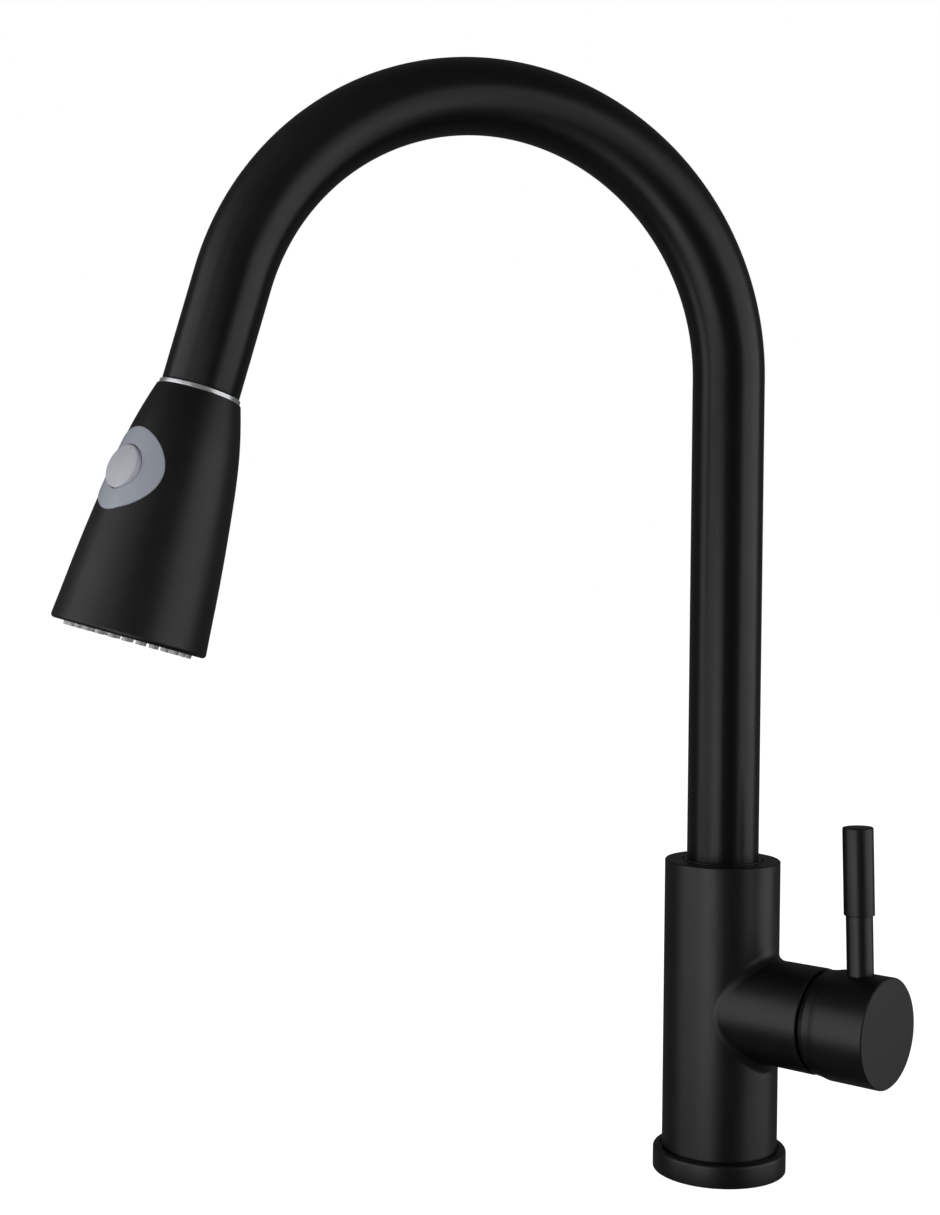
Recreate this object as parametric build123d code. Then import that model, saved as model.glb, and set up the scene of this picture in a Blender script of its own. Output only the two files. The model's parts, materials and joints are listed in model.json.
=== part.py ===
from build123d import *
import os
from math import atan2, cos, degrees, pi, radians, sin

# Pull-down kitchen faucet, in millimetres and degrees. The origin is on the deck, on the body's axis.
# +Z is up, the spout points along -X, and the lever's branch points 60 degrees round from +X towards -Y.

# body
body_radius = 22.5
body_height = 122.0
base_radius = 26.0
base_height = 9.0
bearing_radius = 15.8       # bore that the spout's foot turns in
bearing_floor = 88.0
hose_radius = 6.0
hose_bore = 7.0
hose_offset = 8.0           # the hose leaves the body's foot beside the water ports
shank_radius = 16.45
shank_bore = 14.7
shank_bottom = -58.0
deck_thickness = 30.0
port_radius = 4.5           # core of the M10 x 1 ports
port_low = 22.0
port_high = 34.0
port_places = ((3.0, 9.0), (3.0, -9.0), (9.4, 0.0))
seat_ports = ((-4.0, 6.5), (-4.0, -6.5), (7.0, 0.0))
drill_radius = 2.1

# lever branch
branch_azimuth = -60.0
branch_height = 65.6
branch_radius = 20.0
branch_mouth = 45.0
branch_blend = 4.0
chamber_radius = 17.6       # bore for a 35 mm cartridge
cartridge_seat = 14.0
pivot_place = 35.5          # the lever tilts about this point of the branch's axis
cap_radius = 20.75
cap_rim = 47.5
cap_face = 72.5
cap_bore = 19.2
lever_place = 61.5
lever_lean = 2.0            # back over the branch
set_screw_place = 57.8
rod_radius = 5.0
grip_radius = 5.75
grip_low = 42.4             # above the branch's axis
lever_top = 75.2

# spout
pipe_radius = 14.0
pipe_bore = 12.8
sleeve_radius = 15.5
sleeve_top = 119.5
arch_radius = 100.0
arch_height = 309.8
arch_sweep = 164.0
leg_length = 41.0

# spray head, by distance below the pipe's end
head_turn = -27.0
head_top = 2.2
head_bottom = 91.0
bell_outline = ((15.2, head_top), (18.9, 16.0), (23.0, 42.0), (25.8, 68.0), (27.8, head_bottom))
bell_wall = 2.2
rim_round = 1.4
face_seat = 84.1            # the face plate, its mat and its seal are measured from here
collar_radius = 9.9
button_place = 35.0
button_radius = 8.0
button_crown = 1.5
bezel_radius = 15.2         # the surround is an egg: a large circle round the button and a smaller one below
bezel_tip = 9.6
bezel_tip_place = 6.2
nozzle_rings = ((21.6, 28), (16.2, 20))
screw_circle = 12.1

bottom = (Align.CENTER, Align.CENTER, Align.MIN)


def turned(*corners):
    """A solid turned about Z from its (radius, height) corners."""
    wire = Wire.make_polygon([(radius, 0, height) for radius, height in corners])
    return revolve(Face(wire), Axis.Z)


def ring(outer, inner, low, high):
    return turned((inner, low), (outer, low), (outer, high), (inner, high))


def rod(radius, low, high):
    return Pos(0, 0, low) * Cylinder(radius, high - low, align=bottom)


def bar(start, end, radius):
    """A round bar from one point to another."""
    run = Vector(*end) - Vector(*start)
    return Plane(origin=start, z_dir=run) * Cylinder(radius, run.length, align=bottom)


def block(x, y, z):
    """A box between two values along each axis."""
    size = Box(x[1] - x[0], y[1] - y[0], z[1] - z[0], align=(Align.MIN,) * 3)
    return Pos(x[0], y[0], z[0]) * size


def around(count, radius, start=0.0):
    """Places spaced evenly on a circle."""
    for index in range(count):
        angle = radians(start + 360.0 * index / count)
        yield radius * cos(angle), radius * sin(angle)


def save(name, *solids):
    shape = solids[0] if len(solids) == 1 else Compound(children=list(solids))
    export_step(shape, f"parts/{name}.step")


# Frames. In the branch's frame X is up and Z runs out along the branch; in the head's frame X points
# through the button and Z runs down the head. The lever's line is placed in the branch's frame.
turn_to_branch = Rot(0, 0, branch_azimuth)
branch_direction = (cos(radians(branch_azimuth)), sin(radians(branch_azimuth)), 0)
branch = Plane(origin=(0, 0, branch_height), x_dir=(0, 0, 1), z_dir=branch_direction)

sweep_angle = radians(arch_sweep)
arch_end = Vector(-arch_radius * (1 - cos(sweep_angle)), 0, arch_height + arch_radius * sin(sweep_angle))
head_axis = Vector(-sin(sweep_angle), 0, cos(sweep_angle))
pipe_end = arch_end + head_axis * leg_length
head = Plane(origin=pipe_end, x_dir=(cos(sweep_angle), 0, sin(sweep_angle)), z_dir=head_axis)
head = Plane(head.location * Rot(0, 0, head_turn))
face = Plane(head.location * Pos(0, 0, face_seat))
lever_line = Pos(0, 0, lever_place) * Rot(0, 90 + lever_lean, 0)


# Fixed body

def hose_room():
    """The passage that the hose takes through the casting."""
    low = bar((-hose_offset, 0, port_low), (-hose_offset, 0, port_high + 4), hose_bore)
    high = rod(hose_bore, port_high + 2, bearing_floor)
    core = rod(18.5, port_high + 2, bearing_floor - 4) & block((-20, -0.5), (-20, 20), (0, 100))
    return low + high + core


def waterways():
    """The three bottom ports, drilled up to the cartridge's seat."""
    cuts = []
    for (x, y), (up, side) in zip(port_places, seat_ports):
        seat_height = branch_height + up
        drill_x = cartridge_seat - 3.4
        cuts.append(bar((x, y, port_low), (x, y, port_high), port_radius))
        cuts.append(bar((x, y, port_high - 1), (drill_x, side, seat_height), drill_radius))
        cuts.append(bar((drill_x, side, seat_height), (cartridge_seat, side, seat_height), 2.8))
    return cuts


def faucet_body():
    column = rod(body_radius, base_height, body_height)
    arm = bar((0, 0, branch_height), (branch_mouth, 0, branch_height), branch_radius)
    casting = column + arm
    round_types = (GeomType.CIRCLE, GeomType.LINE)
    seams = [edge for edge in casting.edges() if edge.geom_type not in round_types]
    casting = fillet(seams, branch_blend)
    top_edge = casting.edges().filter_by(GeomType.CIRCLE).sort_by(Axis.Z)[-1]
    casting = chamfer(top_edge, 0.4)
    mouth = casting.edges().filter_by(GeomType.CIRCLE).sort_by(Axis.X)[-1]
    casting = chamfer(mouth, 0.4)
    casting += rod(18.5, 3, base_height)
    casting -= rod(16.5, 0, port_low)
    casting -= rod(bearing_radius, bearing_floor, body_height + 1)
    casting -= hose_room()
    casting -= bar((cartridge_seat, 0, branch_height), (50, 0, branch_height), chamber_radius)
    casting -= bar((38, 0, branch_height), (50, 0, branch_height), 18.2)
    for cut in waterways():
        casting -= cut
    casting = turn_to_branch * casting
    return casting - bar((14, 0, 105.5), (24, 0, 105.5), 2.5)


def base_flange():
    flange = ring(base_radius, 18.6, 0, base_height)
    rims = flange.edges().filter_by(GeomType.CIRCLE).group_by(Axis.Z)[-1]
    flange = fillet(rims.sort_by(SortBy.RADIUS)[-1], 1.6)
    return flange - ring(23.5, 19.5, -1, 2)


def hose_path():
    """The hose's line in the body: down the axis, then an easy bend over to the side of the shank."""
    corners = ((0, 0, bearing_floor), (0, 0, 61), (-hose_offset, 0, 43.8), (-hose_offset, 0, -50))
    return FilletPolyline(*corners, radius=40.0)


def body_hose():
    path = hose_path()
    section = Plane(origin=(0, 0, bearing_floor), z_dir=(0, 0, -1)) * Circle(hose_radius)
    hose = sweep(section, path=path)
    print("body hose volume", hose.volume, "expected", path.length * pi * hose_radius**2)
    return turn_to_branch * hose


def hose_tail_fitting():
    """Brass end of the hose, with a short free thread."""
    tail = turned((4, -76), (7.5, -76), (7.5, -65), (8.6, -65), (8.6, -60), (6.5, -59), (6.5, -50.05), (4, -50.05))
    return turn_to_branch * Pos(-hose_offset, 0, 0) * tail


def mounting_nut():
    """Six-sided nut, drilled for its two clamp screws."""
    low = -deck_thickness - 17
    high = -deck_thickness - 5.1
    nut = Pos(0, 0, low) * extrude(RegularPolygon(29, 6), high - low)
    nut -= rod(shank_radius + 0.05, low - 1, high + 1)
    for x, y in around(2, 21.5):
        nut -= Pos(x, y, 0) * rod(2.5, low - 1, high + 1)
    return nut


def nut_clamp_screws():
    screw = rod(2.45, -deck_thickness - 25, -deck_thickness - 5.1)
    screw += rod(4.2, -deck_thickness - 29, -deck_thickness - 25)
    screw -= Pos(0, 0, -deck_thickness - 29) * extrude(RegularPolygon(2.3, 6), 2.5)
    return [Pos(x, y, 0) * screw for x, y in around(2, 21.5)]


def threaded_shank():
    return ring(shank_radius, shank_bore, shank_bottom, port_low - 2.5)


def spout_set_screw():
    """Grub screw in the back of the body; its tip rides in the sleeve's groove."""
    screw = bar((16.2, 0, 105.5), (21.7, 0, 105.5), 2.45) + bar((15.0, 0, 105.5), (16.2, 0, 105.5), 1.2)
    return screw - bar((19.7, 0, 105.5), (22, 0, 105.5), 1.25)


# Cartridge, in the branch's frame

def port_holes(low, high, radius):
    return [Pos(up, side, 0) * rod(radius, low, high) for up, side in seat_ports]


def cartridge_base():
    foot = rod(17.2, 14.05, 18)
    for hole in port_holes(13, 19, 2.4) + port_holes(13, 15.2, 3.6):
        foot -= hole
    return foot


def cartridge_port_seals():
    return [Pos(up, side, 0) * ring(3.55, 2.45, 14.05, 15.15) for up, side in seat_ports]


def fixed_ceramic_disc():
    disc = rod(14, 18.02, 21.2)
    for hole in port_holes(18, 22, 2.6):
        disc -= hole
    return disc


def moving_ceramic_disc():
    """Its pocket joins the ports when it slides over them."""
    disc = rod(12.4, 21.25, 24.2)
    return disc - Pos(-3.2, 0, 0) * rod(4.6, 21, 23.2)


def disc_carrier():
    carrier = rod(12.4, 24.22, 28.5)
    pocket = block((-3.45, 3.45), (-3.45, 3.45), (25.1, 29))
    return carrier - pocket


def cartridge_housing():
    cup = turned((16.3, 18.02), (17.4, 18.02), (17.4, 38.5), (9.95, 38.5), (9.95, 36.6), (16.3, 36.6))
    return cup


def cartridge_rotor():
    """Turns for temperature and carries the stem's pin; the slot lets the stem swing down 25 degrees."""
    rotor = rod(15.9, 28.9, 36.2) + rod(9.6, 36.2, 40.5)
    rotor -= block((-7.8, 6.4), (-3.85, 3.85), (28, 41))
    return rotor - bar((0, -9.2, pivot_place), (0, 9.2, pivot_place), 1.5)


def stem_pin():
    return bar((0, -9.0, pivot_place), (0, 9.0, pivot_place), 1.45)


def cartridge_nut():
    """Brass ring screwed into the branch, with four slots for its key."""
    nut = ring(18.1, 11.2, 38.55, 44.3)
    for angle in range(0, 360, 90):
        nut -= Rot(0, 0, angle) * block((15.2, 19), (-1.6, 1.6), (42.3, 45))
    return nut


def bonnet_ring():
    return turned((15.6, 44.35), (18.1, 44.35), (18.1, 45.1), (17.3, 46.6), (15.6, 46.6))


# Lever, in the branch's frame

def cartridge_stem():
    stem = block((-3.5, 3.5), (-3.5, 3.5), (31.8, 60.5))
    stem += rod(2.2, 28.5, 32)
    stem += Pos(0, 0, 28.5) * Sphere(3.0)
    return stem - bar((0, -5, pivot_place), (0, 5, pivot_place), 1.5)


def handle_cap():
    """Cast cap: a cup with a hub for the stem, a boss for the lever and a boss for the set screw."""
    roof = cap_face - 4
    cap = turned((0, cap_face), (cap_radius - 0.4, cap_face), (cap_radius, cap_face - 0.4),
                 (cap_radius, 53.0), (cap_radius - 0.2, 51.8), (cap_radius - 0.6, 50.2), (cap_radius - 0.95, cap_rim),
                 (cap_bore, cap_rim), (cap_bore, roof), (0, roof))
    inside = rod(cap_radius - 0.4, 53, cap_face)
    cap += rod(8.0, 53.5, roof)
    cap += (lever_line * rod(7.0, 0, 22)) & inside
    cap += bar((0, 0, set_screw_place), (-22, 0, set_screw_place), 3.9) & inside
    cap -= block((-3.53, 3.53), (-3.53, 3.53), (50, 60.6))
    cap -= lever_line * rod(3.05, 10.5, 22)
    cap -= lever_line * rod(rod_radius + 0.05, 19.0, 22)
    return cap - bar((-3, 0, set_screw_place), (-22, 0, set_screw_place), 2.5)


def handle_set_screw():
    screw = bar((-3.55, 0, set_screw_place), (-13.5, 0, set_screw_place), 2.45)
    return screw - bar((-11.3, 0, set_screw_place), (-14, 0, set_screw_place), 1.25)


def lever_rod():
    low_end = rod(3.0, 10.6, 19.1)
    return lever_line * (low_end + rod(rod_radius, 19.05, grip_low + 1.5) + rod(3.9, grip_low, lever_top - 2))


def lever_grip():
    grip = rod(grip_radius, grip_low, lever_top)
    grip = fillet(grip.edges().filter_by(GeomType.CIRCLE), 0.5)
    grip -= rod(3.95, grip_low - 1, lever_top - 1.9)
    grip -= rod(rod_radius + 0.05, grip_low - 1, grip_low + 1.55)
    return lever_line * grip


# Spout

def spout_line(low, end_trim):
    """The gooseneck's centre line, from a height in the body to near the pipe's end."""
    middle = sweep_angle / 2
    crown = (-arch_radius * (1 - cos(middle)), 0, arch_height + arch_radius * sin(middle))
    foot = Line((0, 0, low), (0, 0, arch_height))
    arch = ThreePointArc((0, 0, arch_height), crown, arch_end)
    leg = Line(arch_end, pipe_end - head_axis * end_trim)
    return Wire([foot.edge(), arch.edge(), leg.edge()])


def along_spout(radius, low, end_trim):
    line = spout_line(low, end_trim)
    return sweep(Pos(0, 0, low) * Circle(radius), path=line)


def spout_pipe():
    low = bearing_floor + 2
    return along_spout(pipe_radius, low, 0) - along_spout(pipe_bore, low, 0)


def spout_sleeve():
    """Brass foot of the pipe, with grooves for its rings and for the set screw."""
    sleeve = ring(sleeve_radius, pipe_radius + 0.02, bearing_floor + 0.3, sleeve_top)
    for low, high in ((116.0, 118.5), (90.5, 93.0), (110.0, 111.8), (97.0, 98.8)):
        sleeve -= ring(17, 14.8, low, high)
    return sleeve - ring(17, 14.6, 103.9, 107.1)


def swivel_rings():
    return [ring(15.74, 14.82, low, low + 2.4) for low in (116.05, 90.55)]


def swivel_o_rings():
    """Rubber rings of round section, squeezed flat against the bore."""
    rings = []
    for low in (110.05, 97.05):
        rubber = ring(15.76, 14.82, low, low + 1.7)
        rings.append(chamfer(rubber.edges().filter_by(GeomType.CIRCLE), 0.25))
    return rings


def spout_top_ring():
    """Black ring on the sleeve that closes the gap between the pipe and the body."""
    high = body_height + 0.3
    return turned((14.05, sleeve_top + 0.05), (15.7, sleeve_top + 0.05), (15.7, high - 0.35), (15.35, high),
                  (14.05, high))


def dock_insert():
    """Plastic guide that the head's collar slides into."""
    return turned((10.3, -24), (12.75, -24), (12.75, -0.3), (11.2, -0.3), (10.3, -1.5))


def spout_hose():
    hose = along_spout(hose_radius, bearing_floor + 0.4, 13.4)
    expected = spout_line(bearing_floor + 0.4, 13.4).length * pi * hose_radius**2
    print("spout hose volume", hose.volume, "expected", expected)
    return hose


# End of the hose, in the head's frame

def hose_end_ferrule():
    return turned((3.75, -13), (7.2, -13), (7.6, -12), (7.6, 0.1), (7.2, 0.6), (3.75, 0.6))


def hose_end_nipple():
    return turned((2.8, -12.5), (3.7, -12.5), (3.7, 0.65), (5.2, 0.65), (5.2, 6), (7, 6), (7, 8), (2.8, 8))


# Spray head, in its own frame; what lies at the face is measured from the face's seat

def bell(inset):
    """The head's outline turned about its axis, taken in by a distance."""
    points = [(radius - inset, 0, height) for radius, height in bell_outline]
    side = Spline(*points, tangents=((0.30, 0, 1), (0.10, 0, 1)))
    closing = Polyline(points[-1], (0, 0, points[-1][2]), (0, 0, points[0][2]), points[0])
    return revolve(Face(Wire([side.edge()] + closing.edges())), Axis.Z)


def bell_radius(height):
    """Outer radius of the head at a distance below the pipe's end."""
    points = [(radius, 0, place) for radius, place in bell_outline]
    side = Spline(*points, tangents=((0.30, 0, 1), (0.10, 0, 1))).edge()
    low, high = 0.0, 1.0
    for _ in range(40):
        middle = (low + high) / 2
        if side.position_at(middle).Z < height:
            low = middle
        else:
            high = middle
    return side.position_at(low).X


button_slope = atan2(bell_radius(button_place + 7) - bell_radius(button_place - 7), 14)
button_origin = (bell_radius(button_place), 0, button_place)
button_normal = (cos(button_slope), 0, -sin(button_slope))
button = Plane(origin=button_origin, x_dir=(sin(button_slope), 0, cos(button_slope)), z_dir=button_normal)


def bezel_prism(grow):
    """The egg shape of the button's surround, pushed through the head's wall."""
    large = Circle(bezel_radius + grow)
    small = Pos(bezel_tip_place, 0) * Circle(bezel_tip + grow)
    egg = make_hull((large + small).edges())
    return button * (Pos(0, 0, -9) * extrude(egg, 15))


def button_hole(radius):
    return button * rod(radius, -12, 6)


def head_shell():
    shell = bell(0)
    rim = shell.edges().filter_by(GeomType.CIRCLE).sort_by(Axis.Z)[-1]
    shell = fillet(rim, rim_round)
    shell -= bell(bell_wall) - rod(30, 0, 5)
    shell -= rod(9.3, 0, 10)
    shell -= bezel_prism(0.1) - bell(0.95)
    return shell - button_hole(button_radius + 1.0)


def button_bezel():
    bezel = bezel_prism(0) & (bell(-0.35) - bell(0.9))
    bezel = bezel.solids().sort_by(Axis.X)[-1]
    return bezel - button_hole(button_radius + 0.35)


def head_trim_ring():
    return turned((10.2, 0.3), (14.2, 0.3), (14.6, 0.7), (14.6, 1.8), (14.2, 2.2), (10.2, 2.2))


def hose_nut():
    """Its collar docks in the spout; its thread holds the head."""
    return turned((8, -14), (9.5, -14), (collar_radius, -13), (collar_radius, 2.2), (9, 2.2), (9, 10.5),
                  (7.4, 10.5), (7.4, 5.7), (5.6, 5.7), (5.6, 1.5), (8, 1.5))


def hose_washer():
    return ring(7.2, 4.6, 8.5, 10.2)


def head_inner_body():
    """Plastic waterway from the hose's nut to the face, with a cross bore for the mode plunger."""
    boss_low = button_place - 4.5
    boss_high = button_place + 9.5
    core = turned((9.05, 5.1), (11.8, 5.1), (11.8, 14), (10, 16), (10, boss_low - 2), (13, boss_low),
                  (13, boss_high), (10, boss_high + 3), (10, face_seat - 7), (24.1, face_seat - 5),
                  (24.1, face_seat), (8.6, face_seat), (8.6, boss_high + 4), (5.0, boss_high + 2),
                  (5.0, boss_low - 1), (6.2, boss_low - 2), (6.2, 13), (5.2, 13), (5.2, 10.3), (7.0, 10.3),
                  (7.0, 11.5), (9.05, 11.5))
    core -= button * (rod(2.6, -30, 0) + rod(5.8, -9.3, 0))
    for x, y in around(6, 18.0):
        core -= Pos(x, y, face_seat) * rod(1.6, -7, 1)
    for x, y in around(3, screw_circle, 30):
        core -= Pos(x, y, face_seat) * rod(1.2, -6, 1)
    return core


def check_valve():
    return turned((0, 13.1), (3.2, 13.1), (6.1, 14.5), (6.1, 24), (3, 25.5), (0, 25.5))


def diverter_seat():
    return ring(4.95, 3.2, button_place + 5.5, button_place + 8.5)


def face_seal():
    return ring(24.1, 23.1, 0.05, 1.95)


def nozzle_places():
    return [place for radius, count in nozzle_rings for place in around(count, radius)]


def nozzle_mat():
    """Soft mat with its nozzles, each a tapered tube."""
    mat = ring(23.0, 9.6, 0.05, 2.1)
    nozzle = turned((0, 2), (1.5, 2), (1.5, 5.6), (1.15, 8.2), (0, 8.2))
    for x, y in nozzle_places():
        mat += Pos(x, y, 0) * nozzle
    for x, y in nozzle_places():
        mat -= Pos(x, y, 0) * rod(0.45, 0, 9)
    for x, y in around(3, screw_circle, 30):
        mat -= Pos(x, y, 0) * rod(1.6, 0, 3)
    return mat


def face_plate():
    plate = turned((9.6, 2.15), (24.9, 2.15), (24.9, 4.6), (24.3, 5.2), (9.6, 5.2))
    for x, y in nozzle_places():
        plate -= Pos(x, y, 0) * rod(1.6, 2, 6)
    for x, y in around(3, screw_circle, 30):
        plate -= Pos(x, y, 0) * rod(1.55, 2, 6)
        plate -= Pos(x, y, 0) * rod(2.25, 4, 6)
    return plate


def face_screws():
    screw = rod(1.15, -5.5, 2.5) + rod(1.5, 2.4, 4.2) + rod(2.15, 4.05, 5.3)
    screw -= block((-1.6, 1.6), (-0.3, 0.3), (4.8, 6))
    screw -= block((-0.3, 0.3), (-1.6, 1.6), (4.8, 6))
    return [Pos(x, y, 0) * screw for x, y in around(3, screw_circle, 30)]


def aerator_housing():
    return turned((7.6, -9), (8.55, -9), (8.55, 1), (9.5, 1), (9.5, 6.6), (9.1, 7.0), (8.4, 7.0), (7.6, 6.2))


def aerator_screen():
    """Thin plate with a ring pattern of holes."""
    screen = rod(7.55, 4.2, 5.0)
    screen -= rod(0.7, 4, 6)
    for radius, count in ((2.4, 6), (4.6, 12), (6.5, 18)):
        for x, y in around(count, radius):
            screen -= Pos(x, y, 0) * rod(0.75, 4, 6)
    return screen


# Mode button, in the button's frame

def mode_button():
    """Round push button with a crowned top."""
    edge = button_radius - 0.5
    top = button_crown
    crown = ThreePointArc((0, 0, top), (edge / 2, 0, top - 0.15), (edge, 0, top - 0.6))
    side = Polyline((edge, 0, top - 0.6), (button_radius, 0, top - 1.05), (button_radius, 0, -3.2), (0, 0, -3.2),
                    (0, 0, top))
    cap = revolve(Face(Wire([crown.edge()] + side.edges())), Axis.Z)
    return button * (cap - ring(6.2, 3.0, -4, -1.2))


def mode_plunger():
    """Stem of the button, which moves the valve inside the head."""
    return button * (rod(2.2, -18.5, -3.25) + rod(1.4, -3.3, -3.2))


def plunger_o_ring():
    return button * chamfer(ring(2.56, 2.22, -13.6, -12.4).edges().filter_by(GeomType.CIRCLE), 0.1)


def button_spring():
    """Coil spring between the button and the head's inner body."""
    line = Helix(pitch=1.18, height=7.08, radius=4.6)
    section = Plane(origin=line @ 0, z_dir=line % 0) * Circle(0.3)
    coil = sweep(section, path=line, is_frenet=True)
    return button * Pos(0, 0, -8.95) * coil


os.makedirs("parts", exist_ok=True)

save("faucet_body", faucet_body())
save("base_flange", base_flange())
save("base_gasket", ring(23.4, 19.6, 0, 1.95))
save("threaded_shank", threaded_shank())
save("deck_rubber_washer", ring(27, 16.8, -deck_thickness - 3, -deck_thickness))
save("deck_steel_washer", ring(27, 16.7, -deck_thickness - 5, -deck_thickness - 3.05))
save("mounting_nut", mounting_nut())
save("nut_clamp_screws", *nut_clamp_screws())
save("spout_set_screw", spout_set_screw())
save("body_hose", body_hose())
save("hose_tail_fitting", hose_tail_fitting())

save("cartridge_base", branch * cartridge_base())
save("cartridge_port_seals", *[branch * seal for seal in cartridge_port_seals()])
save("fixed_ceramic_disc", branch * fixed_ceramic_disc())
save("cartridge_housing", branch * cartridge_housing())
save("cartridge_nut", branch * cartridge_nut())
save("bonnet_ring", branch * bonnet_ring())
save("moving_ceramic_disc", branch * moving_ceramic_disc())
save("disc_carrier", branch * disc_carrier())
save("cartridge_rotor", branch * cartridge_rotor())
save("stem_pin", branch * stem_pin())
save("cartridge_stem", branch * cartridge_stem())
save("handle_cap", branch * handle_cap())
save("handle_set_screw", branch * handle_set_screw())
save("lever_rod", branch * lever_rod())
save("lever_grip", branch * lever_grip())

save("spout_pipe", spout_pipe())
save("spout_sleeve", spout_sleeve())
save("swivel_rings", *swivel_rings())
save("swivel_o_rings", *swivel_o_rings())
save("spout_top_ring", spout_top_ring())
save("dock_insert", head * dock_insert())
save("spout_hose", spout_hose())

save("hose_end_ferrule", head * hose_end_ferrule())
save("hose_end_nipple", head * hose_end_nipple())
save("hose_nut", head * hose_nut())
save("hose_washer", head * hose_washer())
save("head_trim_ring", head * head_trim_ring())
save("head_shell", head * head_shell())
save("head_inner_body", head * head_inner_body())
save("check_valve", head * check_valve())
save("diverter_seat", head * diverter_seat())
save("face_seal", face * face_seal())
save("nozzle_mat", face * nozzle_mat())
save("face_plate", face * face_plate())
save("face_screws", *[face * screw for screw in face_screws()])
save("aerator_housing", face * aerator_housing())
save("aerator_screen", face * aerator_screen())
save("button_bezel", head * button_bezel())

save("mode_button", head * mode_button())
save("mode_plunger", head * mode_plunger())
save("plunger_o_ring", head * plunger_o_ring())
save("button_spring", head * button_spring())

print("head origin", tuple(head.origin), "axis", tuple(head.z_dir), "x", tuple(head.x_dir))
press = head.from_local_coords(Vector(*button_normal)) - head.origin
print("button slope", degrees(button_slope), "origin", tuple(head.from_local_coords(Vector(*button_origin))))
print("button outward", tuple(press))
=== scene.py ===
import json
import math
import bpy
from mathutils import Matrix, Vector

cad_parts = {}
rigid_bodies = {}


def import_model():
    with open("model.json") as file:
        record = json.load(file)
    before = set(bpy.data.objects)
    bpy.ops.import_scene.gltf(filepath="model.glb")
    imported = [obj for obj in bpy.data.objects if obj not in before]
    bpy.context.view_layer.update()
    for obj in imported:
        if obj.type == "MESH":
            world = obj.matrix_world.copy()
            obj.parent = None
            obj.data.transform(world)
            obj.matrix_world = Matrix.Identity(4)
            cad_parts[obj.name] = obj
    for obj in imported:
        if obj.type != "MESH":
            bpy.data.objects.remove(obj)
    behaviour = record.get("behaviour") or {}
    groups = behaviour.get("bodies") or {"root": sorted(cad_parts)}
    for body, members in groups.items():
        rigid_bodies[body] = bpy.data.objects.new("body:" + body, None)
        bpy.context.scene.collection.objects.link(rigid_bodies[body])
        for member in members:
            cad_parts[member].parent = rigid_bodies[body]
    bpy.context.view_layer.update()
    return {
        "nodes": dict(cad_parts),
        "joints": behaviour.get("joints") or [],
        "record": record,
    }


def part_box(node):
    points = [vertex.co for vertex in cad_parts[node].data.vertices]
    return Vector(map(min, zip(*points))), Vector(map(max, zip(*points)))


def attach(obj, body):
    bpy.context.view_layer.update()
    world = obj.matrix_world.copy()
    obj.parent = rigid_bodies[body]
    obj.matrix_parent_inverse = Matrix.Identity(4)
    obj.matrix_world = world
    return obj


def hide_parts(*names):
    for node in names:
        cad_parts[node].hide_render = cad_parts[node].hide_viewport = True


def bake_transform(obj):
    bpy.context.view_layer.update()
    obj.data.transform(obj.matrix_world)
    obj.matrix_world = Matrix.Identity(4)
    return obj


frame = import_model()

mm = 0.001
record = frame["record"]
joints = {joint["name"]: joint for joint in record["behaviour"]["joints"]}
print("frame loaded:", len(frame["nodes"]), "nodes")


# places of the moving parts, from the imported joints

def unit(values):
    return Vector(values).normalized()


def frameOf(origin, zAxis, xAxis):
    # matrix of a local frame: Z along the part, X towards its marked side
    zAxis = unit(zAxis)
    xAxis = (Vector(xAxis) - zAxis * Vector(xAxis).dot(zAxis)).normalized()
    yAxis = zAxis.cross(xAxis)
    matrix = Matrix((xAxis, yAxis, zAxis)).transposed().to_4x4()
    matrix.translation = Vector(origin)
    return matrix


headAxis = unit(joints["spray_head_swivel"]["axis"])
pipeEnd = Vector(joints["spray_head_swivel"]["pos_m"])
buttonOut = -unit(joints["mode_button_press"]["axis"])
headFrame = frameOf(pipeEnd, headAxis, buttonOut)
branchAxis = unit(joints["handle_turn"]["axis"])
branchOrigin = Vector(joints["handle_turn"]["pos_m"])


# modelling helpers

def nothingSelected():
    bpy.ops.object.select_all(action="DESELECT")


def only(piece):
    nothingSelected()
    piece.select_set(True)
    bpy.context.view_layer.objects.active = piece


def applyPlace(piece):
    only(piece)
    bpy.ops.object.transform_apply(location=True, rotation=True, scale=True)


def settle(piece, matrix):
    # moves a piece built at the origin to its place, and keeps the place in its mesh
    piece.matrix_world = matrix
    applyPlace(piece)
    return piece


def tidyMesh(piece, gap=0.002):
    # merges points closer than the gap in millimetres, and points every face outwards
    only(piece)
    bpy.ops.object.mode_set(mode="EDIT")
    bpy.ops.mesh.select_all(action="SELECT")
    bpy.ops.mesh.remove_doubles(threshold=gap * mm)
    bpy.ops.mesh.normals_make_consistent(inside=False)
    bpy.ops.object.mode_set(mode="OBJECT")
    return piece


def closeEnds(piece):
    # fills a tube's two open ends
    only(piece)
    bpy.ops.object.mode_set(mode="EDIT")
    bpy.ops.mesh.select_all(action="SELECT")
    bpy.ops.mesh.fill_holes(sides=0)
    bpy.ops.object.mode_set(mode="OBJECT")
    tidyMesh(piece)


def smooth(piece, angle=30):
    only(piece)
    bpy.ops.object.shade_smooth_by_angle(angle=math.radians(angle))
    return piece


def addModifier(piece, kind, **settings):
    only(piece)
    modifier = piece.modifiers.new(kind.title(), kind)
    for name, value in settings.items():
        setattr(modifier, name, value)
    bpy.ops.object.modifier_apply(modifier=modifier.name)


def roundEdges(piece, width, segments=3, angle=30):
    addModifier(piece, "BEVEL", width=width * mm, segments=segments, limit_method="ANGLE",
                angle_limit=math.radians(angle), harden_normals=False)
    return piece


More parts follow.
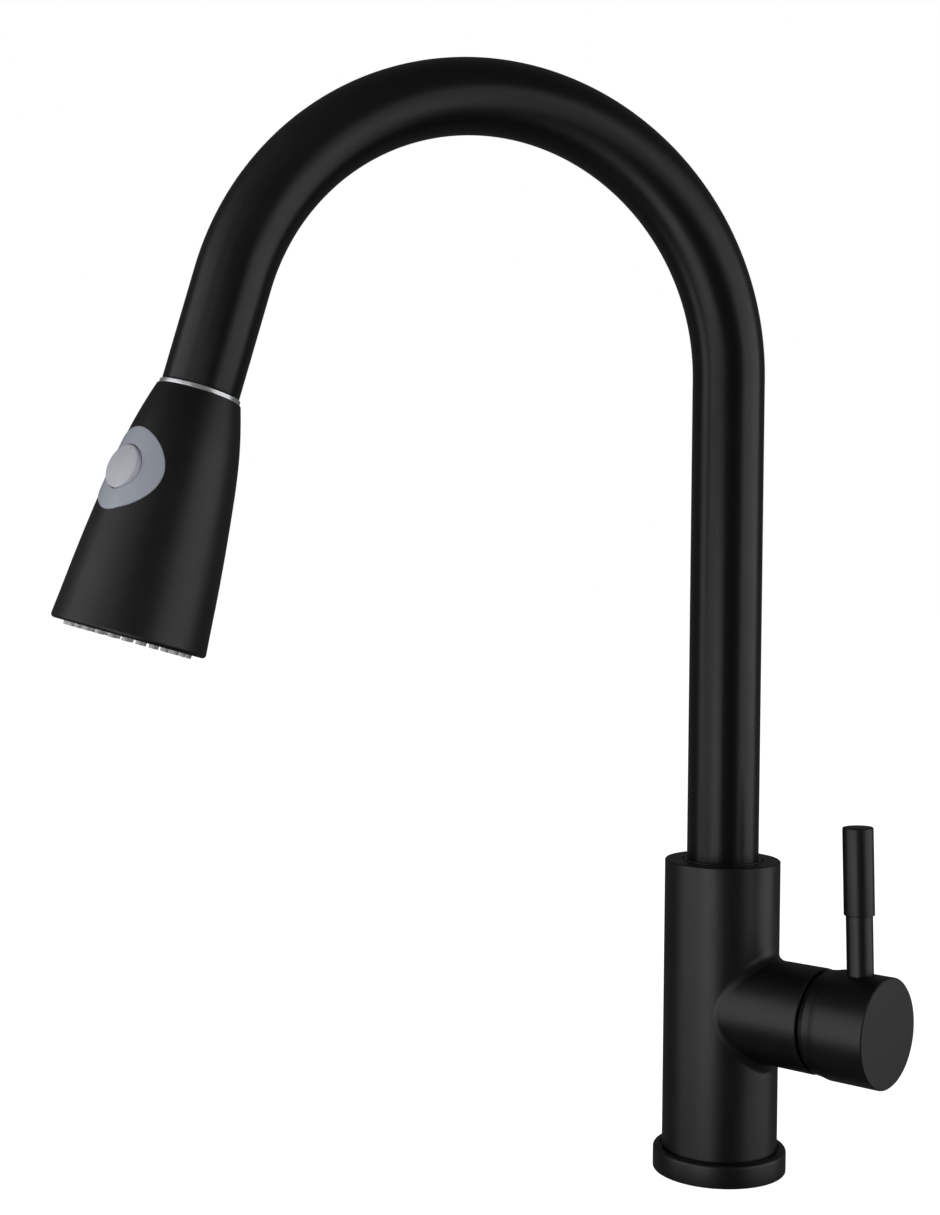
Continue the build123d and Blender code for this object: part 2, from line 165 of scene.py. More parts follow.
def startRing(name, radius, height, sides):
    # one circle about Z, in edit mode with its edge selected
    nothingSelected()
    bpy.ops.mesh.primitive_circle_add(vertices=sides, radius=radius * mm, location=(0, 0, height * mm))
    piece = bpy.context.object
    piece.name = name
    applyPlace(piece)
    bpy.ops.object.mode_set(mode="EDIT")
    bpy.ops.mesh.select_all(action="SELECT")
    return piece


def extrudeBy(step):
    bpy.ops.mesh.extrude_region_move(TRANSFORM_OT_translate={"value": tuple(step)})


def lathe(name, outline, sides=128, closed=True):
    # turns (radius, height) points about Z; a closed outline makes a ring, an open one a solid with flat ends
    radius, height = outline[0]
    piece = startRing(name, radius, height, sides)
    for nextRadius, nextHeight in outline[1:]:
        extrudeBy((0, 0, (nextHeight - height) * mm))
        grow = nextRadius / radius
        bpy.ops.transform.resize(value=(grow, grow, 1), center_override=(0, 0, nextHeight * mm))
        radius, height = nextRadius, nextHeight
    bpy.ops.mesh.select_all(action="DESELECT")
    bpy.ops.mesh.select_non_manifold()
    if closed:
        bpy.ops.mesh.bridge_edge_loops()
    else:
        bpy.ops.mesh.fill_holes(sides=0)
    bpy.ops.object.mode_set(mode="OBJECT")
    return tidyMesh(piece)


def arcPoints(centre, radius, start, end, steps):
    # points of an arc of an outline, with angles in degrees from the radial direction
    for step in range(steps + 1):
        angle = math.radians(start + (end - start) * step / steps)
        yield centre[0] + radius * math.cos(angle), centre[1] + radius * math.sin(angle)


def join(name, parts):
    nothingSelected()
    for part in parts:
        part.select_set(True)
    bpy.context.view_layer.objects.active = parts[0]
    bpy.ops.object.join()
    parts[0].name = name
    return parts[0]


def finishPiece(piece, body, slot, material, *nodes):
    piece.data.materials.clear()
    piece.data.materials.append(material)
    if body:
        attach(piece, body)
    if nodes:
        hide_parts(*nodes)


def roundedCopy(node, name, width, segments=3, angle=32, flat=0.6):
    # a copy of a frame node whose hard edges are rounded; triangles within flat degrees become one face first
    source = bpy.data.objects[node]
    piece = bpy.data.objects.new(name, source.data.copy())
    bpy.context.collection.objects.link(piece)
    tidyMesh(piece)
    only(piece)
    bpy.ops.object.mode_set(mode="EDIT")
    bpy.ops.mesh.select_all(action="SELECT")
    bpy.ops.mesh.dissolve_limited(angle_limit=math.radians(flat))
    bpy.ops.object.mode_set(mode="OBJECT")
    roundEdges(piece, width, segments, angle)
    return smooth(piece, angle)


def threadRidge(name, core, crest, pitch, low, turns, steps=48, foot=0.9, flat=0.25):
    # the helical ridge of a screw thread, wound from one small trapezium
    # foot is the trapezium's width in pitches, and flat the share of it left at the crest
    nothingSelected()
    bpy.ops.mesh.primitive_plane_add(size=1, rotation=(math.radians(90), 0, 0))
    ridge = bpy.context.object
    ridge.name = name
    ridge.scale = ((crest - core) * mm, foot * pitch * mm, 1)
    ridge.location = ((crest + core) / 2 * mm, 0, low * mm)
    applyPlace(ridge)
    bpy.ops.object.mode_set(mode="EDIT")
    bpy.ops.mesh.select_all(action="SELECT")
    bpy.ops.mesh.delete(type="ONLY_FACE")
    bpy.ops.object.mode_set(mode="OBJECT")
    for vertex in ridge.data.vertices:
        vertex.select = vertex.co.x > (crest + core) / 2 * mm
    bpy.ops.object.mode_set(mode="EDIT")
    bpy.ops.transform.resize(value=(1, 1, flat), center_override=(crest * mm, 0, low * mm))
    bpy.ops.object.mode_set(mode="OBJECT")
    addModifier(ridge, "SCREW", angle=math.radians(360), screw_offset=pitch * mm, iterations=turns,
                steps=steps, render_steps=steps, axis="Z")
    bpy.ops.object.mode_set(mode="EDIT")
    bpy.ops.mesh.select_all(action="SELECT")
    bpy.ops.mesh.fill_holes(sides=0)
    bpy.ops.object.mode_set(mode="OBJECT")
    return tidyMesh(ridge)


# materials

white = (1.0, 1.0, 1.0, 1.0)
patternRange = (0.35, 0.65)    # the middle of a noise, where it spends most of its values
lineStretch = 0.05             # tool lines run twenty times as far round as they are wide
braidAngle = 38                # degrees between a strand and the hose
wavePeriod = 0.314             # metres between the wave texture's bands at scale 1


def fromHex(code):
    # sRGB hex to linear RGBA
    values = [int(code[place:place + 2], 16) / 255 for place in (1, 3, 5)]
    linear = [v / 12.92 if v <= 0.04045 else ((v + 0.055) / 1.055) ** 2.4 for v in values]
    return (*linear, 1.0)


def addNode(owner, kind, settings=None, links=None):
    # adds a node; settings are inputs, properties or a ramp's two stops, links are input to output socket
    node = owner.node_tree.nodes.new(kind)
    for name, value in (settings or {}).items():
        if name == "stops":
            for element, (position, colour) in zip(node.color_ramp.elements, value):
                element.position, element.color = position, colour
        elif isinstance(name, int) or name in node.inputs:
            node.inputs[name].default_value = value
        else:
            setattr(node, name, value)
    for name, socket in (links or {}).items():
        owner.node_tree.links.new(socket, node.inputs[name])
    return node


def newMaterial(name, shader):
    material = bpy.data.materials.new(name)
    material.use_nodes = True
    principled = material.node_tree.nodes["Principled BSDF"]
    for label, value in shader.items():
        principled.inputs[label].default_value = value
    return material, principled


def surface(material, principled, pattern, relief, finish, depth):
    # colour and gloss follow one pattern, bump follows the relief; finish has the two ends of each
    low, high = patternRange
    smoother, rougher = finish["roughness"]
    colour = addNode(material, "ShaderNodeValToRGB",
                     {"stops": ((low, fromHex(finish["dark"])), (high, fromHex(finish["light"])))},
                     {"Fac": pattern})
    rough = addNode(material, "ShaderNodeMapRange",
                    {"From Min": low, "From Max": high, "To Min": smoother, "To Max": rougher},
                    {"Value": pattern})
    bump = addNode(material, "ShaderNodeBump", {"Strength": 1.0, "Distance": depth * mm}, {"Height": relief})
    links = material.node_tree.links
    links.new(colour.outputs["Color"], principled.inputs["Base Color"])
    links.new(rough.outputs["Result"], principled.inputs["Roughness"])
    links.new(bump.outputs["Normal"], principled.inputs["Normal"])


def grained(name, finish, grainSize, grainDepth, cloudSize=18.0, shader=None):
    # fine grain of a real size in millimetres, with slow clouds of colour and gloss
    material, principled = newMaterial(name, shader or {})
    place = addNode(material, "ShaderNodeTexCoord").outputs["Object"]
    fine, slow = 1 / (grainSize * mm), 1 / (cloudSize * mm)
    grain = addNode(material, "ShaderNodeTexNoise", {"Scale": fine, "Detail": 3.0}, {"Vector": place})
    cloud = addNode(material, "ShaderNodeTexNoise", {"Scale": slow, "Detail": 4.0}, {"Vector": place})
    mixed = addNode(material, "ShaderNodeMath", {"operation": "ADD"},
                    {0: grain.outputs["Fac"], 1: cloud.outputs["Fac"]})
    half = addNode(material, "ShaderNodeMath", {"operation": "MULTIPLY", 1: 0.5}, {0: mixed.outputs[0]})
    surface(material, principled, half.outputs[0], grain.outputs["Fac"], finish, grainDepth)
    return material


def turnedFinish(name, finish, lineSize, lineDepth, axis=2, shader=None):
    # tool lines round an axis: noise that changes quickly along it and slowly round it
    material, principled = newMaterial(name, shader or {})
    scale = [lineStretch / (lineSize * mm)] * 3
    scale[axis] = 1 / (lineSize * mm)
    place = addNode(material, "ShaderNodeTexCoord").outputs["Object"]
    stretched = addNode(material, "ShaderNodeMapping", {"Scale": scale}, {"Vector": place})
    lines = addNode(material, "ShaderNodeTexNoise", {"Scale": 1.0, "Detail": 2.0},
                    {"Vector": stretched.outputs["Vector"]})
    surface(material, principled, lines.outputs["Fac"], lines.outputs["Fac"], finish, lineDepth)
    return material


def braided(name, finish, strandWidth, strandDepth):
    # two sets of strands that cross over and under, along the piece's own UV map in metres
    material, principled = newMaterial(name, {})
    uv = addNode(material, "ShaderNodeUVMap").outputs["UV"]
    waves = []
    for turn in (braidAngle, -braidAngle):
        turned = addNode(material, "ShaderNodeMapping", {"Rotation": (0, 0, math.radians(turn))},
                         {"Vector": uv})
        wave = addNode(material, "ShaderNodeTexWave",
                       {"bands_direction": "X", "Scale": wavePeriod / (strandWidth * mm)},
                       {"Vector": turned.outputs["Vector"]})
        waves.append(wave.outputs["Fac"])
    upper = addNode(material, "ShaderNodeMath", {"operation": "MAXIMUM"}, {0: waves[0], 1: waves[1]})
    both = addNode(material, "ShaderNodeMath", {"operation": "MULTIPLY"}, {0: waves[0], 1: waves[1]})
    height = addNode(material, "ShaderNodeMath", {"operation": "SUBTRACT"},
                     {0: upper.outputs[0], 1: both.outputs[0]})
    # colour follows the strands' height: crowns are painted lighter (painted highlight) and the dips between
    # strands painted darker (painted shade); the bump is the real relief
    surface(material, principled, height.outputs[0], height.outputs[0], finish, strandDepth)
    return material


# each finish has its darkest and lightest colour and the roughness there
# the two numbers after it are the grain's or the lines' size and depth in millimetres

blackCoat = {"dark": "#08080a", "light": "#0e0e10", "roughness": (0.38, 0.44)}
# powder coat: a dead black with faint orange peel, so highlights are broad and soft
powderCoat = grained("matteBlackPowderCoat", blackCoat, 0.45, 0.006)
# the same coat on a bent tube: it was polished round and round first, so highlights stretch along it
tubeCoat = grained("matteBlackTubeCoat", blackCoat, 0.45, 0.006, shader={"Anisotropic": 0.75})
tangent = addNode(tubeCoat, "ShaderNodeTangent", {"direction_type": "UV_MAP"})
tubeShader = tubeCoat.node_tree.nodes["Principled BSDF"]
tubeCoat.node_tree.links.new(tangent.outputs["Tangent"], tubeShader.inputs["Tangent"])
# soft-touch paint on ABS: a little warmer and flatter than the coat on metal
softPaint = grained("matteBlackPaintedABS",
                    {"dark": "#0a0a0b", "light": "#101012", "roughness": (0.40, 0.47)}, 0.35, 0.006)
# moulded acetal: even, slightly waxy black
blackAcetal = grained("blackAcetal",
                      {"dark": "#080808", "light": "#111112", "roughness": (0.36, 0.44)}, 0.3, 0.005)
# silver metallised ABS under clear lacquer: part mirror, part milky, so it stays light all round
silverTrim = grained("silverMetallisedABS",
                     {"dark": "#dddfe3", "light": "#f2f3f5", "roughness": (0.26, 0.34)}, 0.8, 0.0015,
                     shader={"Metallic": 0.75})
# satin ABS with a spark-eroded grain, which kills the shine
satinGrey = grained("satinGreyABS",
                    {"dark": "#b9becb", "light": "#c4c9d5", "roughness": (0.42, 0.5)}, 0.3, 0.008)
satinLightGrey = grained("satinLightGreyABS",
                         {"dark": "#d5d9e1", "light": "#e0e4ea", "roughness": (0.42, 0.5)}, 0.3, 0.008)
# turned brass: warm, with rings left by the tool
turnedBrass = turnedFinish("turnedBrass",
                           {"dark": "#a8823f", "light": "#d9b56c", "roughness": (0.2, 0.34)}, 0.2, 0.004,
                           shader={"Metallic": 1.0})
# zinc plate: pale, slightly patchy
zincPlate = turnedFinish("zincPlatedSteel",
                         {"dark": "#a3a6aa", "light": "#cfd2d5", "roughness": (0.24, 0.38)}, 0.25, 0.004,
                         shader={"Metallic": 1.0})
# moulded rubber: dull, with a talc bloom
rubber = grained("blackNitrileRubber",
                 {"dark": "#0b0b0b", "light": "#191919", "roughness": (0.62, 0.76)}, 0.4, 0.02)
# lapped alumina: cream white and very flat
alumina = grained("lappedAlumina",
                  {"dark": "#e4e0d4", "light": "#f3f0e8", "roughness": (0.16, 0.24)}, 0.2, 0.002)
# natural acetal: milky white
whiteAcetal = grained("whiteAcetal",
                      {"dark": "#dcdad2", "light": "#eeede8", "roughness": (0.34, 0.44)}, 0.4, 0.004)
# silicone: pale grey, soft and slightly dusty
silicone = grained("paleGreySilicone",
                   {"dark": "#d6d8da", "light": "#e6e7e9", "roughness": (0.5, 0.62)}, 0.4, 0.012)
# nylon braid: flat strands 1.3 mm wide, with a painted highlight on their crowns and painted shade in the
# dips between them
nylonBraid = braided("blackNylonBraid",
                     {"dark": "#070708", "light": "#34353a", "roughness": (0.6, 0.4)}, 1.3, 0.35)
# the same braid where only its end shows, as grain
braidEnd = grained("blackNylonBraidEnd",
                   {"dark": "#0c0c0d", "light": "#2a2a2e", "roughness": (0.45, 0.6)}, 0.9, 0.12)
slotMaterials = {
    "matte_black_metal": powderCoat,
    "matte_black_shell": softPaint,
    "black_plastic": blackAcetal,
    "polished_chrome": silverTrim,
    "grey_plastic": satinGrey,
    "light_grey_plastic": satinLightGrey,
    "turned_brass": turnedBrass,
    "plated_steel": zincPlate,
    "black_rubber": rubber,
    "alumina_ceramic": alumina,
    "white_acetal": whiteAcetal,
    "grey_silicone": silicone,
    "braided_hose": braidEnd,
}
for part in record["subparts"]:
    node = bpy.data.objects[part["node"]]
    node.data.materials.clear()
    node.data.materials.append(slotMaterials[part["material_slot"]])
print("materials made:", len(bpy.data.materials))


# spout: a straight foot, a round arch and a straight leg

spoutSettings = {
    "archRadius": 100.0,    # millimetres, to the tube's centre line
    "wall": 1.2,
    "sides": 96,
    "archSteps": 128,
    "endRound": 0.3,
}
pipeLow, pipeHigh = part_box("spout_pipe")
pipeRadius = pipeHigh.y
archRadius = spoutSettings["archRadius"] * mm
archCentre = Vector((-archRadius, 0, pipeHigh.z - pipeRadius - archRadius))
archSweep = math.acos(headAxis.z)
archEnd = archCentre + archRadius * Vector((math.cos(archSweep), 0, math.sin(archSweep)))


def alongSpout(point):
    # length along the spout's line, and the way round the tube in radians
    if point.z < archCentre.z and point.x > archCentre.x:
        return point.z, math.atan2(point.y, point.x)
    flat = Vector((point.x - archCentre.x, point.z - archCentre.z))
    angle = math.atan2(flat.y, flat.x)
    if 0 <= angle <= archSweep:
        return archCentre.z + angle * archRadius, math.atan2(point.y, flat.length - archRadius)
    outward = (archEnd - archCentre).normalized()
    leg = point - archEnd
    return archCentre.z + archSweep * archRadius + leg.dot(headAxis), math.atan2(leg.y, leg.dot(outward))


def mapAlong(piece, radius, pulled=None):
    # UV in metres: U along the tube, V round it; pulled adds the length that a hose gains at each place
    mesh = piece.data
    layer = mesh.uv_layers[0] if mesh.uv_layers else mesh.uv_layers.new(name="along")
    for face in mesh.polygons:
        corners = [mesh.loops[loop].vertex_index for loop in face.loop_indices]
        places = [alongSpout(mesh.vertices[corner].co) for corner in corners]
        wraps = max(turn for _, turn in places) - min(turn for _, turn in places) > math.pi
        for loop, (length, turn) in zip(face.loop_indices, places):
            if wraps and turn < 0:
                turn += 2 * math.pi
            layer.data[loop].uv = (length + (pulled(length) if pulled else 0), turn * radius)


def bentTube(name, radius, low, sides, archSteps):
    # a tube's skin from its foot to the end of the arch, left in edit mode with its end ring selected
    tube = startRing(name, radius, low / mm, sides)
    extrudeBy((0, 0, archCentre.z - low))
    bpy.ops.mesh.spin(steps=archSteps, angle=archSweep, center=archCentre, axis=(0, 1, 0))
    return tube


topRingSettings = {
    "bore": 14.05, "radius": 15.7, "low": 119.55, "high": 122.3,    # millimetres above the deck
    "step": 0.45, "stepPlace": 121.2, "edge": 0.45, "sides": 128,
}


def makeTopRing():
    s = topRingSettings
    edge, shoulder = s["edge"], s["radius"] - s["step"]
    outline = [(s["bore"], s["low"]), (s["radius"], s["low"])]
    outline += [(s["radius"], s["stepPlace"]), (shoulder, s["stepPlace"])]
    outline += arcPoints((shoulder - edge, s["high"] - edge), edge, 0, 90, 6)
    outline.append((s["bore"], s["high"]))
    ring = lathe("topRingTurned", outline, s["sides"])
    finishPiece(smooth(ring, 40), "spout", "black_plastic", blackAcetal, "spout_top_ring")


def makeSpoutPipe():
    s = spoutSettings
    pipe = bentTube("spoutPipe", pipeRadius / mm, pipeLow.z, s["sides"], s["archSteps"])
    extrudeBy(pipeEnd - archEnd)
    bpy.ops.object.mode_set(mode="OBJECT")
    tidyMesh(pipe)
    addModifier(pipe, "SOLIDIFY", thickness=s["wall"] * mm, offset=-1)
    roundEdges(pipe, s["endRound"], 3, 60)
    smooth(pipe)
    mapAlong(pipe, pipeRadius)
    finishPiece(pipe, "spout", "matte_black_metal", tubeCoat, "spout_pipe")


makeSpoutPipe()
makeTopRing()
print("spout made")


# pull-out hose: the arch's length stays in the spout, and the leg's is paid out when the head is pulled

hoseSettings = {
    "sides": 48,
    "archSteps": 64,
    "legSteps": 60,
    "endGap": 13.05,    # millimetres from the pipe's end to the ferrule
}


def makeHose():
    s = hoseSettings
    low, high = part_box("spout_hose")
    radius = high.y
    hose = bentTube("archHose", radius / mm, low.z, s["sides"], s["archSteps"])
    bpy.ops.object.mode_set(mode="OBJECT")
    closeEnds(hose)
    mapAlong(hose, radius)
    finishPiece(smooth(hose), "spout", "braided_hose", nylonBraid, "spout_hose")

    travel = next(joint for joint in frame["joints"] if joint["name"] == "spray_pull_out")["range_m"][1]
    start, end = archEnd, pipeEnd - headAxis * s["endGap"] * mm
    run = (end - start).length
    legHose = startRing("legHose", radius / mm, 0, s["sides"])
    for _ in range(s["legSteps"]):
        extrudeBy((0, 0, run / s["legSteps"]))
    bpy.ops.object.mode_set(mode="OBJECT")
    closeEnds(legHose)
    settle(legHose, frameOf(start, headAxis, (0, 1, 0)))
    legStart = archCentre.z + archSweep * archRadius

    def paidOut(length):
        share = min(max((length - legStart) / run, 0), 1)
        return travel * share * share * (3 - 2 * share)

    mapAlong(legHose, radius, paidOut)
    finishPiece(smooth(legHose), None, "braided_hose", nylonBraid, "spout_hose")
    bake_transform(legHose)


ferruleSettings = {
    "bore": 3.75, "radius": 7.6, "low": -13.0, "high": 0.6,    # millimetres along the head's axis
    "crimps": (-10.6, -8.2, -5.8, -3.4), "crimpDepth": 0.5, "crimpHalf": 0.55,
    "crimpShape": ((-1.0, 0), (-0.5, 0.75), (0, 1), (0.5, 0.75), (1.0, 0)),    # shares of half and depth
    "lowEdge": ((0.5, 0), (0.1, 0.3), (0, 0.8)),       # in from the radius, up from the low end
    "highEdge": ((0, 0.6), (0.15, 0.15), (0.5, 0)),    # in from the radius, down from the high end
}


def makeFerrule():
    s = ferruleSettings
    radius, low, high = s["radius"], s["low"], s["high"]
    outline = [(s["bore"], low)]
    outline += [(radius - inward, low + up) for inward, up in s["lowEdge"]]
    for crimp in s["crimps"]:
        for shift, share in s["crimpShape"]:
            outline.append((radius - share * s["crimpDepth"], crimp + shift * s["crimpHalf"]))
    outline += [(radius - inward, high - down) for inward, down in s["highEdge"]]
    outline.append((s["bore"], high))
    ferrule = lathe("crimpedFerrule", outline, 72)
    settle(ferrule, headFrame)
    finishPiece(smooth(ferrule, 40), "hose_end", "plated_steel", zincPlate, "hose_end_ferrule")


makeHose()
makeFerrule()
print("hose made")


# spray head: trim ring and mode button

ringSettings = {
    "bore": 10.2, "radius": 14.6, "low": 0.3, "high": 2.2,    # millimetres below the pipe's end
    "groovePlace": 1.3, "grooveDepth": 0.35, "grooveMouth": 0.18, "grooveFloor": 0.08, "edge": 0.45,
}


def makeTrimRing():
    s = ringSettings
    edge, radius, groove = s["edge"], s["radius"], s["groovePlace"]
    mouth, floor, floorRadius = s["grooveMouth"], s["grooveFloor"], radius - s["grooveDepth"]
    outline = [(s["bore"], s["low"])]
    outline += arcPoints((radius - edge, s["low"] + edge), edge, -90, 0, 6)
    outline += [(radius, groove - mouth), (floorRadius, groove - floor)]
    outline += [(floorRadius, groove + floor), (radius, groove + mouth)]
    outline += arcPoints((radius - edge, s["high"] - edge), edge, 0, 90, 6)
    outline.append((s["bore"], s["high"]))
    ring = lathe("chromeTrimRing", outline, 128)
    settle(ring, headFrame)
    finishPiece(smooth(ring, 40), "spray_head", "polished_chrome", silverTrim, "head_trim_ring")


buttonSettings = {
    "place": (22.127, 0, 35.0),    # millimetres in the head's frame
    "radius": 8.0, "foot": -3.2, "footEdge": 0.2, "shoulder": 0.4, "crown": 1.5, "edge": 0.55,
    "crownRings": (0.92, 0.75, 0.55, 0.35, 0.15),    # shares of the crown's radius
}


def makeButton():
    s = buttonSettings
    edge, radius, footEdge = s["edge"], s["radius"], s["footEdge"]
    flat = radius - edge
    outline = [(radius - footEdge, s["foot"]), (radius, s["foot"] + footEdge)]
    outline += arcPoints((flat, s["shoulder"]), edge, 0, 82, 8)
    sag = s["crown"] - s["shoulder"] - edge
    outline += [(flat * share, s["crown"] - sag * share * share) for share in s["crownRings"]]
    button = lathe("roundModeButton", outline, 96, closed=False)
    settle(button, frameOf(headFrame @ (Vector(s["place"]) * mm), buttonOut, headAxis))
    finishPiece(smooth(button, 40), "mode_button", "light_grey_plastic", satinLightGrey, "mode_button")


makeTrimRing()
makeButton()
bezel = roundedCopy("button_bezel", "eggShapedBezel", 0.22)
finishPiece(bezel, "spray_head", "grey_plastic", satinGrey, "button_bezel")
print("spray head made")


# lever: a rod with a thicker grip, leaning back a little over the branch

leverSettings = {
    "place": 61.5,        # millimetres out along the branch
    "lean": 2.0,          # degrees
    "pegRadius": 3.0, "pegLow": 10.6,                  # the rod's foot, in the cap
    "rodRadius": 5.0, "rodLow": 19.05, "rodHigh": 43.8, "rodEdge": 0.2,
    "tenonRadius": 3.9, "tenonDrop": 2.0,              # the rod's head, in the grip
    "gripRadius": 5.75, "gripLow": 42.4, "gripHigh": 75.2, "gripTopEdge": 0.7, "gripLowEdge": 0.35,
    "socketRadius": 5.05, "socketGap": 0.15, "boreRadius": 3.95, "boreDrop": 1.9,
    "topMiddle": 1.0,                                  # radius of the last ring on the grip's top
}


def makeLever():
    s = leverSettings
    up, out = Vector((0, 0, 1)), branchAxis
    lean = math.radians(s["lean"])
    leverAxis = up * math.cos(lean) - out * math.sin(lean)
    leverFrame = frameOf(branchOrigin + out * s["place"] * mm, leverAxis, out)
    peg, rod, tenon, edge = s["pegRadius"], s["rodRadius"], s["tenonRadius"], s["rodEdge"]
    outline = [(peg, s["pegLow"]), (peg, s["rodLow"]), (rod - edge, s["rodLow"]), (rod, s["rodLow"] + edge)]
    outline += [(rod, s["rodHigh"]), (tenon, s["rodHigh"]), (tenon, s["gripHigh"] - s["tenonDrop"])]
    leverRod = settle(lathe("leverRodTurned", outline, 96, closed=False), leverFrame)
    finishPiece(smooth(leverRod, 35), "lever", "matte_black_metal", powderCoat, "lever_rod")
    low, high, radius = s["gripLow"], s["gripHigh"], s["gripRadius"]
    topEdge, lowEdge, socketTop = s["gripTopEdge"], s["gripLowEdge"], s["rodHigh"] + s["socketGap"]
    outline = [(s["boreRadius"], high - s["boreDrop"]), (s["boreRadius"], socketTop)]
    outline += [(s["socketRadius"], socketTop), (s["socketRadius"], low)]
    outline += arcPoints((radius - lowEdge, low + lowEdge), lowEdge, -90, 0, 5)
    outline += arcPoints((radius - topEdge, high - topEdge), topEdge, 0, 90, 8)
    outline.append((s["topMiddle"], high))
    grip = settle(lathe("leverGripTurned", outline, 96, closed=False), leverFrame)
    finishPiece(smooth(grip, 35), "lever", "matte_black_metal", powderCoat, "lever_grip")


makeLever()
print("lever made")


# foot: the flange on the deck, and the threaded shank, nut and hose tail below it

flangeSettings = {
    "radius": 26.0, "bore": 18.6, "height": 9.0, "topEdge": 1.5, "lowEdge": 0.4,
    "recess": (19.5, 23.5, 2.0),       # inner and outer radius and depth of the gasket's recess
    "shadowGap": (22.0, 23.3, 0.6),    # the same of the fine groove round the body's foot
    "gapEdge": 0.15,
}


def makeFlange():
    s = flangeSettings
    radius, height, topEdge, lowEdge = s["radius"], s["height"], s["topEdge"], s["lowEdge"]
    inner, outer, depth = s["recess"]
    gapIn, gapOut, gapDepth = s["shadowGap"]
    gapWall, gapFloor = gapOut - s["gapEdge"], height - gapDepth
    outline = [(s["bore"], 0), (inner, 0), (inner, depth), (outer, depth), (outer, 0)]
    outline += arcPoints((radius - lowEdge, lowEdge), lowEdge, -90, 0, 4)
    outline += arcPoints((radius - topEdge, height - topEdge), topEdge, 0, 90, 10)
    outline += [(gapOut, height), (gapWall, height - s["gapEdge"]), (gapWall, gapFloor)]
    outline += [(gapIn, gapFloor), (gapIn, height), (s["bore"], height)]
    flange = lathe("footFlange", outline, 160)
    finishPiece(smooth(flange, 35), "fixed_body", "matte_black_metal", powderCoat, "base_flange")


shankSettings = {
    "crest": 16.45, "core": 15.6, "bore": 14.7, "pitch": 1.5, "low": -58.0, "high": 19.5, "turns": 36,
    "endIn": 0.5, "endUp": 0.6,    # the chamfer on the lower end
    "threadStart": 1.6, "threadSink": 0.05,
}
tailSettings = {
    "crest": 7.5, "core": 6.95, "bore": 4.0, "pitch": 1.0, "low": -76.0, "turns": 9,
    "collar": 8.6, "collarLow": -65.0, "collarHigh": -60.0, "collarEdge": 0.2,
    "neck": 6.5, "neckRise": 0.6, "high": -50.05, "endEdge": 0.4,
    "threadStart": 0.9, "threadSink": 0.05,
}


def cutThread(name, coreName, ridgeName, outline, sides, s, steps):
    # a turned core joined with the ridge of its thread
    core = lathe(coreName, outline, sides)
    ridge = threadRidge(ridgeName, s["core"] - s["threadSink"], s["crest"], s["pitch"],
                        s["low"] + s["threadStart"], s["turns"], steps)
    return join(name, [core, ridge])


def makeShank():
    s = shankSettings
    low, high, core = s["low"], s["high"], s["core"]
    outline = [(s["bore"], low), (core - s["endIn"], low), (core, low + s["endUp"])]
    outline += [(core, high), (s["bore"], high)]
    shank = cutThread("threadedShankCut", "shankCore", "shankThread", outline, 128, s, 64)
    finishPiece(smooth(shank, 35), "fixed_body", "turned_brass", turnedBrass, "threaded_shank")


def makeHoseTail():
    s = tailSettings
    core, collar, edge, end = s["core"], s["collar"], s["collarEdge"], s["endEdge"]
    outline = [(s["bore"], s["low"]), (core - end, s["low"]), (core, s["low"] + end), (core, s["collarLow"])]
    outline += [(collar - edge, s["collarLow"]), (collar, s["collarLow"] + edge)]
    outline += [(collar, s["collarHigh"] - edge), (collar - edge, s["collarHigh"])]
    outline += [(s["neck"], s["collarHigh"] + s["neckRise"]), (s["neck"], s["high"]), (s["bore"], s["high"])]
    tail = cutThread("hoseTailTurned", "tailCore", "tailThread", outline, 72, s, 48)
    low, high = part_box("hose_tail_fitting")
    middle = (low + high) / 2
    settle(tail, Matrix.Translation((middle.x, middle.y, 0)))
    finishPiece(smooth(tail, 35), "fixed_body", "turned_brass", turnedBrass, "hose_tail_fitting")


makeFlange()
makeShank()
makeHoseTail()
nut = roundedCopy("mounting_nut", "hexMountingNut", 0.5)
finishPiece(nut, "fixed_body", "plated_steel", zincPlate, "mounting_nut")
print("foot made")


# floor, camera and light

floorSettings = {"size": 12.0, "drop": 0.0002, "colour": "#f7f7f7", "roughness": 0.9, "glow": 1.0}    # metres


def makeFloor():
    s = floorSettings
    nothingSelected()
    bpy.ops.mesh.primitive_plane_add(size=s["size"], location=(0, 0, -s["drop"]))
    floor = bpy.context.object
    floor.name = "floor"
    material, _ = newMaterial("paleFloor", {"Roughness": s["roughness"], "Base Color": fromHex(s["colour"]),
                                            "Emission Color": white, "Emission Strength": s["glow"]})
    floor.data.materials.append(material)
    floor.visible_glossy = False     # a black gloss would pick up the whole floor
    floor.visible_diffuse = False


cameraSettings = {
    "place": (-0.3317, -0.6395, 0.2399),   # metres
    "heading": -19.43,                     # degrees, turned from +Y
    "pitch": 1.6,                          # degrees down
    "roll": 0.5,
    "lens": 54.05,                         # mm on the 36 mm side
}


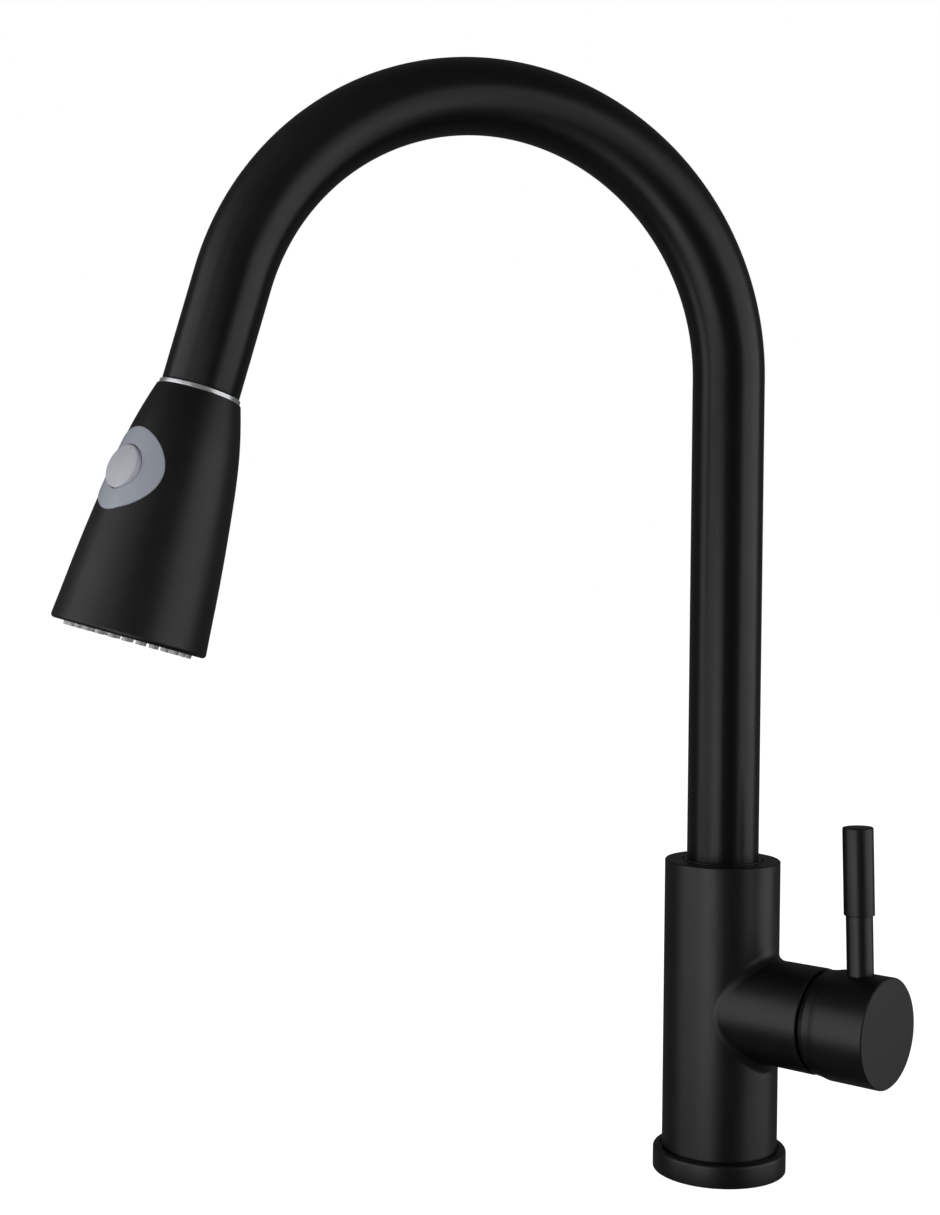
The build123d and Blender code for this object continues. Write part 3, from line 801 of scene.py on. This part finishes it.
def makeCamera():
    data = bpy.data.cameras.new("camera")
    data.lens = cameraSettings["lens"]
    camera = bpy.data.objects.new("camera", data)
    bpy.context.collection.objects.link(camera)
    turn = Matrix.Rotation(math.radians(cameraSettings["heading"]), 4, "Z")
    tilt = Matrix.Rotation(math.radians(90 - cameraSettings["pitch"]), 4, "X")
    roll = Matrix.Rotation(math.radians(cameraSettings["roll"]), 4, "Z")
    camera.matrix_world = Matrix.Translation(cameraSettings["place"]) @ turn @ tilt @ roll
    bpy.context.scene.camera = camera


lightSettings = {
    "backdrop": 1.0,      # what the camera sees behind the object
    "fill": 0.08,         # what the object sees all round
    "softboxes": {        # place and aim in metres, size in metres, power in watts
        "leftSoftbox": ((-1.38, 0.1, 0.3), (-0.08, 0, 0.2), (1.1, 1.4), 6.0),
        "rightSoftbox": ((1.11, -0.85, 0.25), (-0.05, 0, 0.2), (1.8, 1.4), 10.0),
        "lowSoftbox": ((-0.75, -0.5, 0.02), (0, -0.03, 0.1), (0.6, 0.5), 0.4),
        "faceSoftbox": ((-0.42, -0.3, 0.02), (-0.235, 0, 0.21), (0.3, 0.3), 0.5),
        "ringSoftbox": ((-0.7, -0.36, 0.42), (-0.207, 0, 0.3), (0.4, 0.3), 0.3),
    },
}


def addSoftbox(name, place, target, size, power):
    data = bpy.data.lights.new(name, "AREA")
    data.shape = "RECTANGLE"
    data.size, data.size_y = size
    data.energy = power
    light = bpy.data.objects.new(name, data)
    bpy.context.collection.objects.link(light)
    light.rotation_mode = "QUATERNION"
    light.rotation_quaternion = (Vector(target) - Vector(place)).to_track_quat("-Z", "Y")
    light.location = place
    light.visible_camera = False


def makeLights():
    world = bpy.data.worlds.new("studio")
    bpy.context.scene.world = world
    world.use_nodes = True
    background = world.node_tree.nodes["Background"]
    background.inputs["Color"].default_value = white
    seen = addNode(world, "ShaderNodeLightPath").outputs["Is Camera Ray"]
    strength = addNode(world, "ShaderNodeMapRange",
                       {"To Min": lightSettings["fill"], "To Max": lightSettings["backdrop"]},
                       {"Value": seen})
    world.node_tree.links.new(strength.outputs["Result"], background.inputs["Strength"])
    for name, settings in lightSettings["softboxes"].items():
        addSoftbox(name, *settings)


makeFloor()
makeCamera()
makeLights()
bpy.context.scene.view_settings.view_transform = "Standard"
print("stage set")
